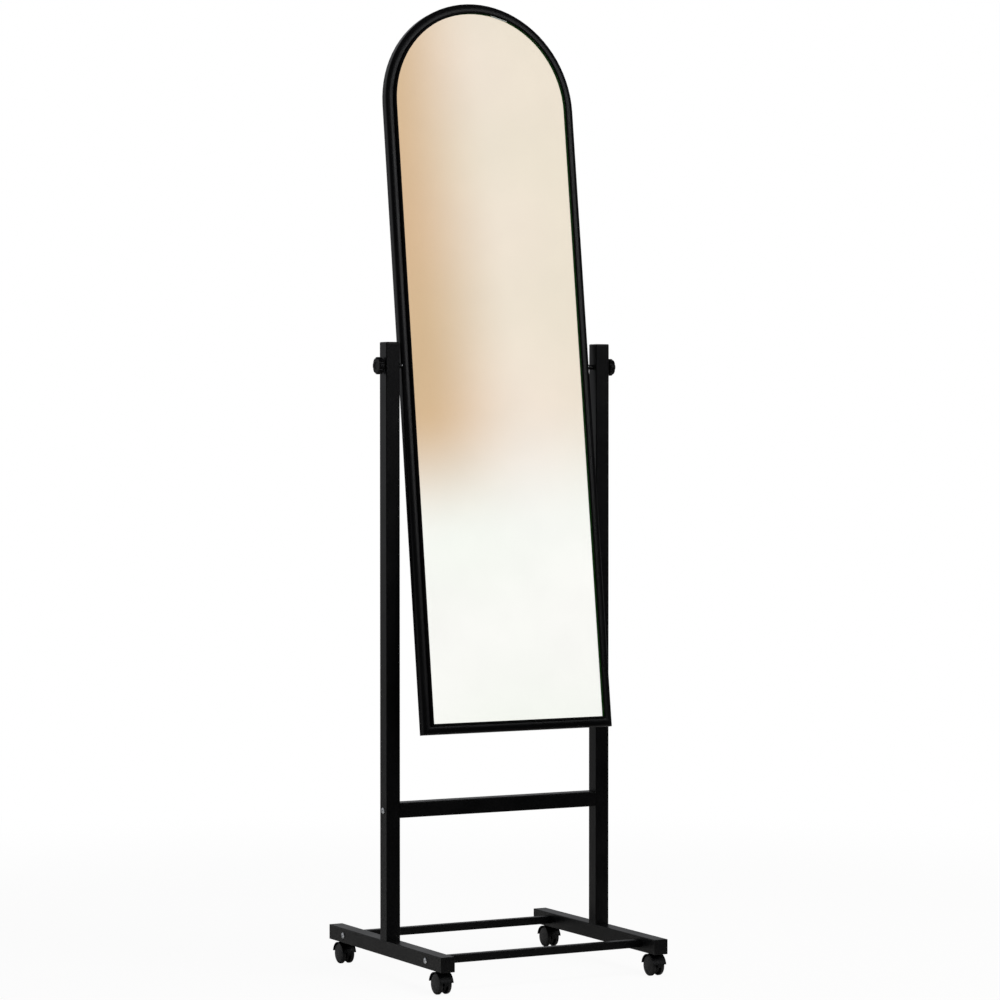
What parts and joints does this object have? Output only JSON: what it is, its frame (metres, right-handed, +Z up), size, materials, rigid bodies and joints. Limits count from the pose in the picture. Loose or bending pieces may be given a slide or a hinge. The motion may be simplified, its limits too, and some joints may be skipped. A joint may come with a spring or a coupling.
{
  "type": "rolling floor mirror",
  "caption": "Full-length arched floor mirror that tilts between square posts on a rolling frame with swivelling hooded casters.",
  "frame": {"origin": "on the floor, midway between the posts and midway along the side rails", "axes": "+Z up, +X to the right as seen from in front of the mirror, +Y away from the viewer; the mirror faces -Y"},
  "size_m": [0.4446, 0.416, 1.6167],
  "materials": {
    "black_powder_coat": "satin black powder coat",
    "black_aluminium": "satin black coated extrusion",
    "black_plastic": "fine moulded grain",
    "black_nylon": "moulded nylon, faint sheen",
    "black_rubber": "matte extruded trim",
    "plated_steel": "zinc plated",
    "silvered_glass": "polished, silvered behind",
    "backing_hardboard": "black-faced hardboard"
  },
  "bodies": {
    "stand": {"left_base_rail": "black_powder_coat", "right_base_rail": "black_powder_coat", "left_rail_plugs": "black_plastic", "right_rail_plugs": "black_plastic", "left_post": "black_powder_coat", "right_post": "black_powder_coat", "left_post_cap": "black_plastic", "right_post_cap": "black_plastic", "post_inserts": "black_plastic", "post_bolts": "plated_steel", "left_pivot_bush": "black_nylon", "right_pivot_bush": "black_nylon", "crossbar": "black_powder_coat", "crossbar_inserts": "black_plastic", "crossbar_screws": "plated_steel", "front_cross_rod": "black_powder_coat", "rear_cross_rod": "black_powder_coat", "rod_inserts": "black_plastic", "rod_screws": "plated_steel", "caster_nut_plates": "plated_steel", "caster_stems": "plated_steel"},
    "mirror": {"mirror_frame_arch": "black_aluminium", "mirror_frame_bottom": "black_aluminium", "frame_corner_keys": "plated_steel", "pivot_blocks": "plated_steel", "mirror_glass": "silvered_glass", "glass_edge_trim": "black_rubber", "backing_board": "backing_hardboard"},
    "left_washer": {"left_knob_washer": "plated_steel"},
    "left_knob": {"left_knob_stud": "plated_steel", "left_knob_head": "black_plastic"},
    "right_washer": {"right_knob_washer": "plated_steel"},
    "right_knob": {"right_knob_stud": "plated_steel", "right_knob_head": "black_plastic"},
    "front_left_caster": {"front_left_caster_hood": "black_plastic", "front_left_caster_axle": "plated_steel"},
    "front_left_wheel_a": {"front_left_wheel_a": "black_nylon"},
    "front_left_wheel_b": {"front_left_wheel_b": "black_nylon"},
    "front_right_caster": {"front_right_caster_hood": "black_plastic", "front_right_caster_axle": "plated_steel"},
    "front_right_wheel_a": {"front_right_wheel_a": "black_nylon"},
    "front_right_wheel_b": {"front_right_wheel_b": "black_nylon"},
    "rear_left_caster": {"rear_left_caster_hood": "black_plastic", "rear_left_caster_axle": "plated_steel"},
    "rear_left_wheel_a": {"rear_left_wheel_a": "black_nylon"},
    "rear_left_wheel_b": {"rear_left_wheel_b": "black_nylon"},
    "rear_right_caster": {"rear_right_caster_hood": "black_plastic", "rear_right_caster_axle": "plated_steel"},
    "rear_right_wheel_a": {"rear_right_wheel_a": "black_nylon"},
    "rear_right_wheel_b": {"rear_right_wheel_b": "black_nylon"}
  },
  "joints": [
    {"name": "mirror_tilt", "type": "hinge", "parent": "stand", "child": "mirror", "pos_m": [0, 0, 1.007], "axis": [-1, 0, 0], "continuous": true},
    {"name": "left_washer_travel", "type": "slide", "parent": "mirror", "child": "left_washer", "axis": [-1, 0, 0], "range_m": [0, 0.005]},
    {"name": "left_knob_turn", "type": "hinge", "parent": "left_washer", "child": "left_knob", "pos_m": [-0.2153, 0, 1.007], "axis": [-1, 0, 0], "continuous": true},
    {"name": "right_washer_travel", "type": "slide", "parent": "mirror", "child": "right_washer", "axis": [1, 0, 0], "range_m": [0, 0.005]},
    {"name": "right_knob_turn", "type": "hinge", "parent": "right_washer", "child": "right_knob", "pos_m": [0.2153, 0, 1.007], "axis": [1, 0, 0], "continuous": true},
    {"name": "front_left_swivel", "type": "hinge", "parent": "stand", "child": "front_left_caster", "pos_m": [-0.1975, -0.179, 0.03], "axis": [0, 0, 1], "continuous": true},
    {"name": "front_left_wheel_a_spin", "type": "hinge", "parent": "front_left_caster", "child": "front_left_wheel_a", "pos_m": [-0.2059, -0.184, 0.017], "axis": [1, 0, 0], "continuous": true},
    {"name": "front_left_wheel_b_spin", "type": "hinge", "parent": "front_left_caster", "child": "front_left_wheel_b", "pos_m": [-0.1891, -0.184, 0.017], "axis": [1, 0, 0], "continuous": true},
    {"name": "front_right_swivel", "type": "hinge", "parent": "stand", "child": "front_right_caster", "pos_m": [0.1975, -0.179, 0.03], "axis": [0, 0, 1], "continuous": true},
    {"name": "front_right_wheel_a_spin", "type": "hinge", "parent": "front_right_caster", "child": "front_right_wheel_a", "pos_m": [0.1891, -0.184, 0.017], "axis": [1, 0, 0], "continuous": true},
    {"name": "front_right_wheel_b_spin", "type": "hinge", "parent": "front_right_caster", "child": "front_right_wheel_b", "pos_m": [0.2059, -0.184, 0.017], "axis": [1, 0, 0], "continuous": true},
    {"name": "rear_left_swivel", "type": "hinge", "parent": "stand", "child": "rear_left_caster", "pos_m": [-0.1975, 0.179, 0.03], "axis": [0, 0, 1], "continuous": true},
    {"name": "rear_left_wheel_a_spin", "type": "hinge", "parent": "rear_left_caster", "child": "rear_left_wheel_a", "pos_m": [-0.2059, 0.174, 0.017], "axis": [1, 0, 0], "continuous": true},
    {"name": "rear_left_wheel_b_spin", "type": "hinge", "parent": "rear_left_caster", "child": "rear_left_wheel_b", "pos_m": [-0.1891, 0.174, 0.017], "axis": [1, 0, 0], "continuous": true},
    {"name": "rear_right_swivel", "type": "hinge", "parent": "stand", "child": "rear_right_caster", "pos_m": [0.1975, 0.179, 0.03], "axis": [0, 0, 1], "continuous": true},
    {"name": "rear_right_wheel_a_spin", "type": "hinge", "parent": "rear_right_caster", "child": "rear_right_wheel_a", "pos_m": [0.1891, 0.174, 0.017], "axis": [1, 0, 0], "continuous": true},
    {"name": "rear_right_wheel_b_spin", "type": "hinge", "parent": "rear_right_caster", "child": "rear_right_wheel_b", "pos_m": [0.2059, 0.174, 0.017], "axis": [1, 0, 0], "continuous": true}
  ],
  "couplings": [
    {"joint": "left_knob_turn", "follows": "left_washer_travel", "rad_per_m": 6283.2},
    {"joint": "right_knob_turn", "follows": "right_washer_travel", "rad_per_m": 6283.2}
  ]
}
